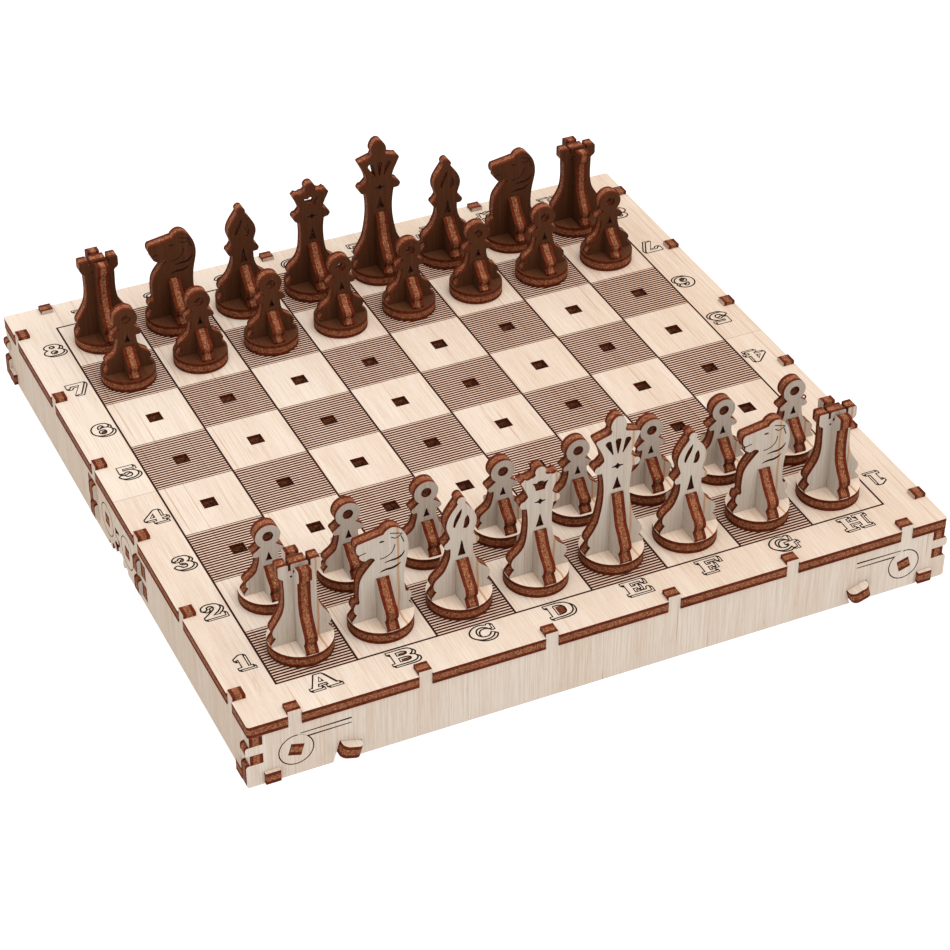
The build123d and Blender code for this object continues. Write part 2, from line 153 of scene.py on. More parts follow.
def veneer(place, grain, pale, deep, streak, drift, cut_from):
    """Colour and height of a sanded face: broad figure, fine fibres, pores and long warm lines."""
    turned_share = 0.83
    fibre_stretch = 0.02
    dash_stretch = 0.1
    line_step = 3.4
    line_edge = 0.055
    line_heart = 0.012
    across = place.part("X")
    if grain == "Z":
        across = across + place.part("Y") * turned_share
    along = place.part(grain) + cut_from
    fibres = place.node("ShaderNodeCombineXYZ", {}, {"X": across, "Y": along * fibre_stretch})
    dashes = place.node("ShaderNodeCombineXYZ", {}, {"X": across, "Y": along * dash_stretch})
    figure = fibres.noise(0.09, 3.0, 0.6, 0.5).rise(0.3, 0.7) + place.part("X") * drift
    fibre = fibres.noise(2.4, 3.0, 0.7).rise(0.32, 0.7)
    pore = dashes.noise(2.2, 2.0, 0.5).rise(0.6, 0.78)
    wander = (across + fibres.noise(0.12, 1.0) * 2.0) / line_step
    cell = wander.whole()
    middle = cell.chance() * 0.7 + 0.15
    strength = (cell * 1.7 + 9.3).chance().rise(0.6, 1.0) * dashes.noise(0.5, 1.0).rise(0.35, 0.6)
    line = abs(wander - cell - middle).rise(line_edge, line_heart) * strength
    fleck = dashes.noise(0.16, 3.0, 0.6, 1.0).rise(0.66, 0.8)
    tone = figure * 0.25 + fibre * 0.5 + pore * 0.35
    colour = (line * 0.8).larger(fleck * 0.4).between(tone.between(pale, deep), streak)
    return colour, fibre * 0.6 - pore * 0.5 - line * 0.4


def burnt_edge(place, depth):
    """Colour and height of a laser-cut edge: two dark outer plies and a lighter speckled core."""
    core_edge = 0.255
    core_heart = 0.205
    wobble = (place.noise(0.3, 2.0) - 0.5) * 0.05
    core = abs(depth - 0.5 + wobble).rise(core_edge, core_heart)
    mottle = place.noise(1.1, 3.0, 0.6).rise(0.3, 0.72)
    speckle = place.noise(2.8, 2.0, 0.6).rise(0.46, 0.7)
    outer = mottle.between(tint(76, 25, 10), tint(104, 41, 19))
    inner = (mottle * 0.3 + speckle * 0.7).between(tint(88, 44, 25), tint(186, 124, 88))
    return core.between(outer, inner), mottle * 0.4 + speckle * 0.6


def plywood(name, grain, pale, deep, streak, drift=0.0, cut_from=0.0, marks=None):
    """A finish for plates cut from one place of a sheet; marks burns lines into its faces."""
    skin_start = 0.499
    skin_end = 0.49
    face_roughness = 0.62
    edge_roughness = 0.16
    fibre_height = 0.02
    burn_depth = 0.1
    edge_height = 0.06
    finish = bpy.data.materials.new(name)
    finish.use_nodes = True
    shader = finish.node_tree.nodes["Principled BSDF"]
    start = Strand(finish.node_tree)
    metres = start.node("ShaderNodeTexCoord", out="Object")
    place = start.node("ShaderNodeVectorMath", {"operation": "SCALE"}, {0: metres, "Scale": 1 / mm})
    depth = start.node("ShaderNodeAttribute", {"attribute_name": "sheet_depth"}, out="Fac")
    face, fibre = veneer(place, grain, pale, deep, streak, drift, cut_from)
    height = fibre * fibre_height
    if marks is not None:
        face, burnt = marks(place, face)
        height = height - burnt * burn_depth
    edge, mottle = burnt_edge(place, depth)
    on_edge = abs(depth - 0.5).rise(skin_start, skin_end)
    relief = start.node("ShaderNodeBump", {},
                        {"Strength": 0.5, "Distance": mm,
                         "Height": height + on_edge * mottle * edge_height}, out="Normal")
    finish.node_tree.links.new(on_edge.between(face, edge).socket, shader.inputs["Base Color"])
    roughness = face_roughness + on_edge * edge_roughness
    finish.node_tree.links.new(roughness.socket, shader.inputs["Roughness"])
    finish.node_tree.links.new(relief.socket, shader.inputs["Normal"])
    shader.inputs["Specular IOR Level"].default_value = 0.06
    return finish


facing = 0.9


def only(piece):
    """Selects one object and makes it the active one."""
    bpy.ops.object.select_all(action="DESELECT")
    piece.select_set(True)
    bpy.context.view_layer.objects.active = piece


def sheet_axis(mesh):
    """The normal with the most area, the upright one of equals: the way through the sheet."""
    areas = {}
    for side in mesh.polygons:
        key = tuple(round(value, 2) for value in side.normal)
        area, _ = areas.get(key, (0.0, None))
        areas[key] = (area + side.area, side.normal.copy())
    largest = max(area for area, _ in areas.values())
    normals = [normal for area, normal in areas.values() if area > largest * 0.99]
    return max(normals, key=lambda normal: normal.z)


def plate_sizes(mesh):
    """How many triangles each plate of a node has: a plate ends where its surface is closed."""
    points = [tuple(round(value, 7) for value in vertex.co) for vertex in mesh.vertices]
    sizes = []
    start = 0
    open_edges = set()
    for side in mesh.polygons:
        corners = [points[index] for index in side.vertices]
        for here, there in zip(corners, corners[1:] + corners[:1]):
            if (there, here) in open_edges:
                open_edges.remove((there, here))
            else:
                open_edges.add((here, there))
        if not open_edges:
            sizes.append(side.index + 1 - start)
            start = side.index + 1
    return sizes


def cut_plates(node, level, upright, trim=None):
    """Stands for a CAD node: its plates with joined triangles and the depth in the sheet on them."""
    weld_reach = 0.000002
    smooth_below = math.radians(30)
    source = frame["nodes"][node]
    whole = bpy.data.objects.new(f"{node}_plates", source.data.copy())
    bpy.context.scene.collection.objects.link(whole)
    plates = [whole]
    for size in plate_sizes(whole.data)[:-1]:
        only(whole)
        bpy.context.tool_settings.mesh_select_mode = (False, False, True)
        bpy.ops.object.mode_set(mode="EDIT")
        bpy.ops.mesh.select_all(action="DESELECT")
        bpy.ops.object.mode_set(mode="OBJECT")
        for side in whole.data.polygons[:size]:
            side.select = True
        bpy.ops.object.mode_set(mode="EDIT")
        bpy.ops.mesh.separate(type="SELECTED")
        bpy.ops.object.mode_set(mode="OBJECT")
        plates += [piece for piece in bpy.context.selected_objects if piece != whole]
    for plate in plates:
        only(plate)
        bpy.ops.object.mode_set(mode="EDIT")
        bpy.ops.mesh.select_all(action="SELECT")
        bpy.ops.mesh.remove_doubles(threshold=weld_reach)
        bpy.ops.object.mode_set(mode="OBJECT")
        through = sheet_axis(plate.data)
        if trim is not None:
            trim(plate, through)
        depths = [through.dot(vertex.co) for vertex in plate.data.vertices]
        low, high = min(depths), max(depths)
        marker = plate.data.attributes.new("sheet_depth", "FLOAT", "POINT")
        marker.data.foreach_set("value", [(depth - low) / (high - low) for depth in depths])
        plate.data.materials.clear()
        plate.data.materials.append(level if abs(through.z) > facing else upright)
        bpy.ops.object.shade_smooth_by_angle(angle=smooth_below)
        for side in plate.data.polygons:
            if abs(side.normal.dot(through)) > facing:
                side.use_smooth = False
    only(whole)
    for plate in plates:
        plate.select_set(True)
    bpy.ops.object.join()
    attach(whole, source["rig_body"])
    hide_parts(node)
    return whole


square = 24.0


def square_middle(number):
    """Where the middle of a file or rank, counted from 0, lies from the board's middle."""
    return (number - 3.5) * square


board_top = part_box("top_plate_near")[1][2]
top_face = board_top / mm
hatch_lines = 21
hatch_share = 0.57
hatch_soft = 0.02
scorch_share = 0.2
half_field = 4.0
field_soft = 0.002
file_line_core = 0.011
file_line_edge = 0.015
corner_core = 0.009
corner_edge = 0.014
burn = tint(46, 16, 8)
scorch = tint(205, 100, 10)
peg_rim = 2.27
rim_edge = 0.03
birch = dict(pale=tint(209, 199, 187), deep=tint(184, 155, 131), streak=tint(158, 110, 74))


def board_marks(place, face):
    """Hatched squares on scorched ground, lines between the files, the field's frame, holes' rims."""
    x = place.part("X") / square
    y = place.part("Y") / square
    light = x.math("MODULO", x.whole() + y.whole() + 8.0, 2.0)
    field_end = half_field + field_soft
    field_start = half_field - field_soft
    inside = abs(x).rise(field_end, field_start) * abs(y).rise(field_end, field_start)
    stripe = y * hatch_lines + 0.5
    stripes = abs(stripe - stripe.whole() - 0.5)
    stripes = stripes.rise(hatch_share / 2 + hatch_soft, hatch_share / 2 - hatch_soft)
    nearest = x.math("ROUND", x)
    files = abs(x - nearest).rise(file_line_edge, file_line_core)
    files = files * abs(y).rise(half_field + corner_edge, half_field + corner_core)
    ends = abs(abs(y) - half_field).rise(file_line_edge, file_line_core)
    ends = ends * abs(x).rise(half_field + corner_edge, half_field + corner_core)
    top = place.part("Z").rise(top_face - 1.0, top_face - 0.5)
    dark = (1 - light) * inside * top
    burnt = (dark * stripes).larger(files.larger(ends) * top)
    out = abs(x - x.whole() - 0.5).larger(abs(y - y.whole() - 0.5)) * square
    rims = out.rise(peg_rim + rim_edge, peg_rim - rim_edge)
    burnt = burnt.larger(rims * inside * top)
    return burnt.between((dark * scorch_share).between(face, scorch), burn), burnt


top_birch = dict(birch, pale=tint(209, 195, 180))
engraved = {"near": plywood("engraved_near", "Y", drift=0.004, marks=board_marks, **top_birch),
            "far": plywood("engraved_far", "Y", drift=0.007, cut_from=5000.0, marks=board_marks,
                           **top_birch)}
for half, finish in engraved.items():
    plate = cut_plates(f"top_plate_{half}", finish, finish)


# Coordinates: block letters along the two ends and block numbers along the two sides, each an
# outline with a dropped shade, burnt into the border as thin dark lines. Those on the far end
# and the right side stand upside down, to be read by the other player.

letter_line = 0.25
line_flatness = 0.1
shade_shift = (0.7, -0.7)
letter_y = 100.25
number_x = 100.6

# A point of an outline with a third value is round, the others are corners; millimetres.
glyphs = {
    "A": [[(0, 0), (0, 0.9), (0.9, 0.9), (3.1, 6), (5.4, 6), (8, 0.9), (8.8, 0.9), (8.8, 0), (5, 0),
           (5, 0.9), (5.6, 0.9), (5.25, 1.8), (3.1, 1.8), (2.75, 0.9), (3.6, 0.9), (3.6, 0)],
          [(3.5, 2.7), (4.9, 2.7), (4.2, 4.7)]],
    "B": [[(0, 0), (0, 0.9), (0.9, 0.9), (0.9, 5.1), (0, 5.1), (0, 6), (5, 6), (6.9, 5.5, 1),
           (7.4, 4.5, 1), (6.9, 3.5, 1), (6.2, 3.1), (7.4, 2.6, 1), (7.9, 1.6, 1), (7.3, 0.5, 1),
           (5.4, 0)],
          [(2.6, 3.6), (2.6, 5), (4.6, 5), (5.4, 4.7, 1), (5.6, 4.3, 1), (5.3, 3.8, 1), (4.6, 3.6)],
          [(2.6, 1), (2.6, 2.6), (4.8, 2.6), (5.7, 2.3, 1), (6, 1.8, 1), (5.7, 1.3, 1), (4.8, 1)]],
    "C": [[(7, 6), (6.2, 6), (5.9, 5.6), (3.9, 6.1, 1), (1.2, 5.2, 1), (0, 3, 1), (1.2, 0.8, 1),
           (3.9, -0.1, 1), (6.2, 0.6, 1), (7.1, 1.9), (6.2, 2.4), (5.4, 1.4, 1), (4.2, 1, 1),
           (2.7, 1.5, 1), (2.1, 3, 1), (2.7, 4.5, 1), (4.2, 5, 1), (5.5, 4.5, 1), (6.1, 3.8), (7, 3.8)]],
    "D": [[(0, 0), (0, 0.9), (0.9, 0.9), (0.9, 5.1), (0, 5.1), (0, 6), (4.4, 6), (6.9, 5.2, 1),
           (7.9, 3, 1), (6.9, 0.8, 1), (4.4, 0)],
          [(2.7, 1), (2.7, 5), (4, 5), (5.3, 4.5, 1), (5.8, 3, 1), (5.3, 1.5, 1), (4, 1)]],
    "E": [[(0, 0), (0, 0.9), (0.9, 0.9), (0.9, 5.1), (0, 5.1), (0, 6), (7, 6), (7, 4.1), (6.1, 4.1),
           (5.9, 5), (2.8, 5), (2.8, 3.6), (4, 3.6), (4, 4.2), (4.9, 4.2), (4.9, 2), (4, 2), (4, 2.6),
           (2.8, 2.6), (2.8, 1), (6.2, 1), (6.5, 2.1), (7.4, 2.1), (7.4, 0)]],
    "F": [[(0, 0), (0, 0.9), (0.9, 0.9), (0.9, 5.1), (0, 5.1), (0, 6), (7.2, 6), (7.2, 3.9), (6.3, 3.9),
           (6.1, 5), (2.8, 5), (2.8, 3.5), (4.1, 3.5), (4.1, 4.1), (5, 4.1), (5, 1.9), (4.1, 1.9),
           (4.1, 2.5), (2.8, 2.5), (2.8, 0.9), (4.2, 0.9), (4.2, 0)]],
    "G": [[(6.9, 6), (6.1, 6), (5.8, 5.6), (3.8, 6.1, 1), (1.2, 5.2, 1), (0, 3, 1), (1.2, 0.8, 1),
           (3.8, -0.1, 1), (5.4, 0.4, 1), (6, 0.8), (6, 0), (7.5, 0), (7.5, 2.2), (8.4, 2.2), (8.4, 3.1),
           (4.6, 3.1), (4.6, 2.2), (5.6, 2.2), (5.5, 1.6), (4.2, 1, 1), (2.7, 1.5, 1), (2.1, 3, 1),
           (2.7, 4.5, 1), (4.2, 5, 1), (5.4, 4.6, 1), (6, 3.9), (6.9, 3.9)]],
    "H": [[(0, 0), (0, 0.9), (0.9, 0.9), (0.9, 5.1), (0, 5.1), (0, 6), (3.7, 6), (3.7, 5.1), (2.8, 5.1),
           (2.8, 3.5), (6, 3.5), (6, 5.1), (5.1, 5.1), (5.1, 6), (8.8, 6), (8.8, 5.1), (7.9, 5.1),
           (7.9, 0.9), (8.8, 0.9), (8.8, 0), (5.1, 0), (5.1, 0.9), (6, 0.9), (6, 2.5), (2.8, 2.5),
           (2.8, 0.9), (3.7, 0.9), (3.7, 0)]],
    "1": [[(0, 0), (0, 0.9), (1.2, 0.9), (1.2, 4.3), (0, 4), (0, 4.9), (1.9, 6.2), (3.2, 6.2),
           (3.2, 0.9), (4.4, 0.9), (4.4, 0)]],
    "2": [[(0.2, 4.1), (0.5, 5.4, 1), (1.5, 6.1, 1), (3.1, 6.3, 1), (5.2, 5.7, 1), (5.9, 4.4, 1),
           (5.2, 3, 1), (2.9, 1.2), (4.9, 1.2), (5.2, 1.8), (6.1, 1.8), (6.1, 0), (0, 0), (0, 0.9),
           (2.2, 2.5, 1), (3.6, 3.7, 1), (3.9, 4.5, 1), (3.5, 5.2, 1), (2.7, 5.3, 1), (2, 4.9, 1),
           (2.1, 4.3), (1.2, 3.7, 1)]],
    "3": [[(0.3, 4.4), (0.8, 5.6, 1), (1.9, 6.2, 1), (3.2, 6.3, 1), (5, 5.8, 1), (5.6, 4.7, 1),
           (5, 3.6, 1), (4.4, 3.3), (5.5, 2.8, 1), (6, 1.8, 1), (5.2, 0.4, 1), (3, -0.1, 1),
           (0.9, 0.4, 1), (0, 1.6), (1, 2.2, 1), (2, 1.7), (2.3, 1.1, 1), (3, 0.9, 1), (3.8, 1.2, 1),
           (4, 1.9, 1), (3.6, 2.6, 1), (2.2, 2.8), (2.2, 3.7), (3.4, 3.8, 1), (3.7, 4.5, 1),
           (3.4, 5.1, 1), (2.8, 5.3, 1), (2.3, 5.1, 1), (2, 4.6)]],
    "4": [[(3.9, 6.2), (5.4, 6.2), (5.4, 2.6), (6.8, 2.6), (6.8, 1.7), (5.4, 1.7), (5.4, 0.9),
           (6.3, 0.9), (6.3, 0), (2.4, 0), (2.4, 0.9), (3.4, 0.9), (3.4, 1.7), (0, 1.7), (0, 2.5)],
          [(3.4, 2.6), (1.9, 2.6), (3.4, 4.6)]],
    "5": [[(0.6, 6.2), (5.6, 6.2), (5.6, 4.9), (2.2, 4.9), (2.1, 4), (3.3, 4.2, 1), (5.3, 3.6, 1),
           (6.3, 2, 1), (5.4, 0.5, 1), (3.1, -0.1, 1), (0.9, 0.3, 1), (0, 1.5), (0.9, 2.1, 1), (2, 1.7),
           (2.4, 1.1, 1), (3.1, 0.9, 1), (4, 1.2, 1), (4.3, 2, 1), (3.9, 2.9, 1), (3, 3.2, 1), (2, 2.7),
           (0.6, 2.9)]],
    "6": [[(5.9, 4.4), (5.6, 5.5, 1), (3.6, 6.3, 1), (1.1, 5.5, 1), (0, 3, 1), (1, 0.7, 1),
           (3.3, -0.1, 1), (5.6, 0.5, 1), (6.5, 2.1, 1), (5.8, 3.5, 1), (4, 4, 1), (2.3, 3.5),
           (2.5, 4.7, 1), (3.4, 5.3, 1), (4, 5, 1), (4.1, 4.4), (5, 3.9, 1)],
          [(3.3, 2.9, 1), (4.2, 2.6, 1), (4.4, 1.9, 1), (4.1, 1.1, 1), (3.3, 0.8, 1), (2.5, 1.1, 1),
           (2.2, 1.9, 1), (2.5, 2.7, 1)]],
    "7": [[(0, 6.2), (6.1, 6.2), (6.1, 5.2), (3.6, 0), (1.6, 0), (4.2, 4.9), (1.6, 4.9), (1, 4), (0, 4)]],
    "8": [[(3.2, 6.3, 1), (5.3, 5.7, 1), (5.8, 4.6, 1), (5.2, 3.5, 1), (4.8, 3.3), (5.9, 2.8, 1),
           (6.4, 1.7, 1), (5.6, 0.4, 1), (3.2, -0.1, 1), (0.8, 0.4, 1), (0, 1.7, 1), (0.5, 2.8, 1),
           (1.6, 3.3), (1.2, 3.6, 1), (0.6, 4.6, 1), (1.1, 5.7, 1)],
          [(3.2, 5.3, 1), (4, 4.7, 1), (3.2, 4, 1), (2.4, 4.7, 1)],
          [(3.2, 2.6, 1), (4.2, 1.7, 1), (3.2, 0.8, 1), (2.2, 1.7, 1)]],
}


def charred(name, dark, light):
    """A finish for burnt lines: brown-black, mottled where the beam ran slower or faster."""
    finish = bpy.data.materials.new(name)
    finish.use_nodes = True
    shader = finish.node_tree.nodes["Principled BSDF"]
    start = Strand(finish.node_tree)
    metres = start.node("ShaderNodeTexCoord", out="Object")
    mottle = metres.noise(1400.0, 3.0, 0.6).rise(0.3, 0.7)
    finish.node_tree.links.new(mottle.between(dark, light).socket, shader.inputs["Base Color"])
    finish.node_tree.links.new((0.7 + mottle * 0.2).socket, shader.inputs["Roughness"])
    shader.inputs["Specular IOR Level"].default_value = 0.15
    return finish


def traced(points, closed):
    """The points along a drawn line, with its round corners smoothed."""
    drawing = bpy.data.curves.new("drawing", "CURVE")
    drawing.resolution_u = 4
    spline = drawing.splines.new("BEZIER")
    spline.bezier_points.add(len(points) - 1)
    spline.use_cyclic_u = closed
    for knot, (x, y, *soft) in zip(spline.bezier_points, points):
        knot.co = (x * mm, y * mm, 0.0)
        knot.handle_left_type = "AUTO" if soft else "VECTOR"
        knot.handle_right_type = knot.handle_left_type
    holder = bpy.data.objects.new("drawing", drawing)
    wire = bpy.data.meshes.new_from_object(holder)
    line = [(vertex.co.x, vertex.co.y) for vertex in wire.vertices]
    bpy.data.objects.remove(holder)
    bpy.data.curves.remove(drawing)
    bpy.data.meshes.remove(wire)
    return line


def flat_curve(name, lines, level):
    """A curve object of straight runs between the points of some lines, each with its closedness."""
    curve = bpy.data.curves.new(name, "CURVE")
    for points, closed in lines:
        spline = curve.splines.new("POLY")
        spline.points.add(len(points) - 1)
        spline.use_cyclic_u = closed
        for knot, (x, y) in zip(spline.points, points):
            knot.co = (x, y, level, 1.0)
    piece = bpy.data.objects.new(name, curve)
    bpy.context.scene.collection.objects.link(piece)
    return piece


def burnt_lines(name, lines, radius, finish, level=0.0):
    """Thin burnt lines in the plane Z = level: flattened tubes, half sunk in the wood."""
    piece = flat_curve(name, lines, 0.0)
    piece.data.dimensions = "3D"
    piece.data.bevel_depth = radius * mm
    piece.data.bevel_resolution = 0
    piece.data.use_fill_caps = True
    only(piece)
    bpy.ops.object.convert(target="MESH")
    bpy.ops.object.mode_set(mode="EDIT")
    bpy.ops.mesh.select_all(action="SELECT")
    bpy.ops.transform.resize(value=(1.0, 1.0, line_flatness), center_override=(0.0, 0.0, 0.0))
    bpy.ops.transform.translate(value=(0.0, 0.0, level))
    bpy.ops.object.mode_set(mode="OBJECT")
    piece.data.materials.append(finish)
    return piece


def shade_edges(points, shift):
    """Short lines from an outline to its shifted copy, where the shade's side begins or ends."""
    edges = []
    count = len(points)
    for number, (x, y) in enumerate(points):
        before_x, before_y = points[number - 1]
        after_x, after_y = points[(number + 1) % count]
        side_in = (x - before_x) * shift[1] - (y - before_y) * shift[0]
        side_out = (after_x - x) * shift[1] - (after_y - y) * shift[0]
        if side_in * side_out < 0:
            edges.append(([(x, y), (x + shift[0], y + shift[1])], False))
    return edges


def slab(name, lines, thick, level, finish):
    """A thin closed sheet that fills some outlines, with its middle at a level."""
    piece = flat_curve(name, lines, 0.0)
    piece.data.dimensions = "2D"
    piece.data.fill_mode = "BOTH"
    piece.data.extrude = thick / 2
    only(piece)
    bpy.ops.object.convert(target="MESH")
    bpy.ops.object.mode_set(mode="EDIT")
    bpy.ops.mesh.select_all(action="SELECT")
    bpy.ops.mesh.remove_doubles(threshold=0.000001)
    bpy.ops.mesh.normals_make_consistent(inside=False)
    bpy.ops.transform.translate(value=(0.0, 0.0, level))
    bpy.ops.object.mode_set(mode="OBJECT")
    piece.data.materials.append(finish)
    return piece


def unshaded(loop, shift):
    """The part of a counter that the shade of its own edge leaves open, as a smaller outline."""
    xs = [x for x, _ in loop]
    ys = [y for _, y in loop]
    middle_x = (min(xs) + max(xs)) / 2
    middle_y = (min(ys) + max(ys)) / 2
    share_x = 1 - abs(shift[0]) / (max(xs) - min(xs))
    share_y = 1 - abs(shift[1]) / (max(ys) - min(ys))
    return [(middle_x + (x - middle_x) * share_x + shift[0] / 2,
             middle_y + (y - middle_y) * share_y + shift[1] / 2) for x, y in loop]


def block_character(sign, char, scorched):
    """One character at the origin: shade, bare wood over it, its own outline, burnt counters."""
    loops = [traced(loop, True) for loop in glyphs[sign]]
    xs = [x for loop in loops for x, _ in loop]
    ys = [y for loop in loops for _, y in loop]
    shift = [value * mm for value in shade_shift]
    middle_x = (min(xs) + max(xs) + shift[0]) / 2
    middle_y = (min(ys) + max(ys) + shift[1]) / 2
    loops = [[(x - middle_x, y - middle_y) for x, y in loop] for loop in loops]
    outlines = [(loop, True) for loop in loops]
    shade = [([(x + shift[0], y + shift[1]) for x, y in loop], True) for loop in loops]
    for loop in loops:
        shade += shade_edges(loop, shift)
    layer = letter_line * line_flatness * mm
    layers = [burnt_lines(f"shade_{sign}", shade, letter_line, char),
              slab(f"wood_{sign}", outlines, layer * 2, layer, engraved["near"]),
              burnt_lines(f"outline_{sign}", outlines, letter_line, char, level=layer * 2)]
    if len(loops) > 1:
        open_parts = [(unshaded(loop, shift), True) for loop in loops[1:]]
        layers.append(slab(f"counter_{sign}", open_parts, layer, layer, scorched))
    only(layers[0])
    for piece in layers:
        piece.select_set(True)
    bpy.ops.object.join()
    return layers[0]


def copy_to(pattern, name, place, turn):
    """A copy of a finished pattern with its own mesh, turned and then moved to its place."""
    piece = bpy.data.objects.new(name, pattern.data.copy())
    bpy.context.scene.collection.objects.link(piece)
    piece.location = place
    piece.rotation_euler = turn
    only(piece)
    bpy.ops.object.transform_apply(location=True, rotation=True, scale=False)
    return piece


line_char = charred("line_char", tint(16, 9, 6), tint(42, 24, 16))
counter_brown = charred("counter_brown", tint(64, 24, 12), tint(116, 58, 36))
upside_down = (0.0, 0.0, math.pi)
halves = {"near": [], "far": []}
for column, letter in enumerate("ABCDEFGH"):
    pattern = block_character(letter, line_char, counter_brown)
    x = square_middle(column) * mm
    halves["near"].append(copy_to(pattern, "letter", (x, -letter_y * mm, board_top), (0.0, 0.0, 0.0)))
    halves["far"].append(copy_to(pattern, "letter", (x, letter_y * mm, board_top), upside_down))
    bpy.data.objects.remove(pattern)
for row, number in enumerate("12345678"):
    pattern = block_character(number, line_char, counter_brown)
    y = square_middle(row) * mm
    half = "near" if y < 0 else "far"
    halves[half].append(copy_to(pattern, "number", (-number_x * mm, y, board_top), (0.0, 0.0, 0.0)))
    halves[half].append(copy_to(pattern, "number", (number_x * mm, y, board_top), upside_down))
    bpy.data.objects.remove(pattern)
for half, signs in halves.items():
    only(signs[0])
    for sign in signs:
        sign.data.materials[sign.data.materials.find("engraved_near")] = engraved[half]
        sign.select_set(True)
    bpy.ops.object.join()
    signs[0].name = f"coordinates_{half}"
    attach(signs[0], f"{half}_half")


# Walls of the two trays: end walls, side walls with the hinge teeth, cross walls and corner
# braces, all from the same sheet with the grain upright, tabbed and tenoned into each other.
# A thin line of char rings each latch disc and each hinge disc where they were cut free.

latch_x = 96.0
latch_z = 8.75
latch_radius = 5.0
hinge_y = 9.0
hinge_z = 8.9
hinge_radius = 5.2
ring_char = 0.16
kerf_start = 1.5
kerf_run = 14.7
kerf_slope = 0.125
upper_kerf_z = 14.1
lower_kerf_z = 12.425
upper_kerf_half = 0.15
lower_kerf_half = 0.275
kerf_soft = 0.03
kerf_char = 0.1
strip_x = 0.5
strip_z = 3.5
strip_soft = 0.3


def latch_reach(place):
    """Distance from a latch disc's middle, and the mask of the strip that joins it to the wall."""
    x = latch_x - abs(place.part("X"))
    z = place.part("Z") - latch_z
    joined = x.rise(strip_x, strip_x + strip_soft) * z.rise(strip_z, strip_z + strip_soft)
    return x.math("SQRT", x * x + z * z), joined


def latch_marks(place, face):
    """Char round the latch discs of an end wall, and beside the kerfs that free their strips."""
    reach, joined = latch_reach(place)
    ring = reach.rise(latch_radius + 0.1 + ring_char, latch_radius + 0.04 + ring_char) * (1 - joined)
    x = latch_x - abs(place.part("X"))
    z = place.part("Z")
    climb = (x - kerf_start) / kerf_run * kerf_slope
    upper = abs(z - upper_kerf_z - climb) - climb - upper_kerf_half
    lower = abs(z - lower_kerf_z - climb) + climb - lower_kerf_half
    kerfs = upper.rise(kerf_soft, -kerf_soft).larger(lower.rise(kerf_soft, -kerf_soft))
    kerf_end = kerf_start + kerf_run
    kerfs = kerfs * x.rise(kerf_start - 2 * kerf_char, kerf_start - kerf_char)
    burnt = ring.larger(kerfs * x.rise(kerf_end + 2 * kerf_char, kerf_end + kerf_char))
    return burnt.between(face, burn), burnt


def hinge_reach(place):
    """Distance from a hinge disc's middle."""
    y = abs(place.part("Y")) - hinge_y
    z = place.part("Z") - hinge_z
    return y.math("SQRT", y * y + z * z)


def hinge_marks(place, face):
    """Char round the hinge discs of a side wall."""
    burnt = hinge_reach(place).rise(hinge_radius + 0.28, hinge_radius + 0.2)
    return burnt.between(face, burn), burnt


birch_upright = plywood("birch_upright", "Z", **birch)
birch_level = plywood("birch_level", "Y", **birch)
latch_birch = plywood("latch_birch", "Z", marks=latch_marks, **birch)
# Painted shade: the side walls and their hinge discs take a darker copy of the birch, for the side of the
# board that faces away from the light.
painted_shade_side_birch = dict(birch, pale=tint(204, 191, 176), deep=tint(179, 148, 123))
hinge_birch = plywood("hinge_birch", "Z", marks=hinge_marks, **painted_shade_side_birch)
wall_finishes = {"front_wall": latch_birch, "back_wall": latch_birch,
                 "side_wall_near_left": hinge_birch, "side_wall_near_right": hinge_birch,
                 "side_wall_far_left": hinge_birch, "side_wall_far_right": hinge_birch,
                 "inner_walls_near": birch_upright, "inner_walls_far": birch_upright,
                 "corner_braces_near": birch_upright, "corner_braces_far": birch_upright}
for wall, finish in wall_finishes.items():
    plate = cut_plates(wall, birch_level, finish)


# Hinge and latch pieces: links, journal discs, square pegs, lever arms and thumb tabs.
# They are small plates of the same sheet, keyed together on square pegs.

def hinge_disc_marks(place, face):
    """Char at the rim of a hinge disc."""
    burnt = hinge_reach(place).rise(hinge_radius - 0.15, hinge_radius - 0.08)
    return burnt.between(face, burn), burnt


def latch_disc_marks(place, face):
    """Char at the rim of a latch disc; the arm behind it reaches further and stays bare."""
    reach, joined = latch_reach(place)
    rim = reach.rise(latch_radius - ring_char, latch_radius - ring_char + 0.08)
    burnt = rim * reach.rise(latch_radius + 1.0, latch_radius + 0.5) * (1 - joined)
    return burnt.between(face, burn), burnt


hinge_disc_birch = plywood("hinge_disc_birch", "Z", marks=hinge_disc_marks, **painted_shade_side_birch)
latch_disc_birch = plywood("latch_disc_birch", "Z", marks=latch_disc_marks, **birch)
for side in ("left", "right"):
    for name, finish in (("hinge_link", birch_upright), ("hinge_discs", hinge_disc_birch),
                         ("hinge_pegs", birch_upright)):
        plate = cut_plates(f"{name}_{side}", birch_level, finish)
    for half in ("near", "far"):
        lever = cut_plates(f"latch_lever_{half}_{side}", birch_level, latch_disc_birch)
        tab = cut_plates(f"thumb_tab_{half}_{side}", birch_level, birch_level)


# Chess men: each is a face plate and a cross plate, slotted into each other and standing on a
# round base. White men are bare birch with one warm line of grain down the right of the face
# plate and over the base, painted greyer and darker on their upright plates as painted shade and
# lighter on their bases as painted light; black men are stained dark brown on their faces.

grain_line_x = 4.8
grain_line_tint = tint(170, 118, 72)


def men_marks(place, face):
    """The warm line of grain, at the same place in each file of the board."""
    x = place.part("X") / square
    local = (x - x.whole() - 0.5) * square
    wobble = (place.noise(0.12, 2.0) - 0.5) * 1.2
    line = abs(local - grain_line_x + wobble).rise(0.5, 0.12)
    return (line * 0.75).between(face, grain_line_tint), line * 0.1


rook_notch = (4.4, 6.6, 3.0)
rook_notch_foot = 28.6


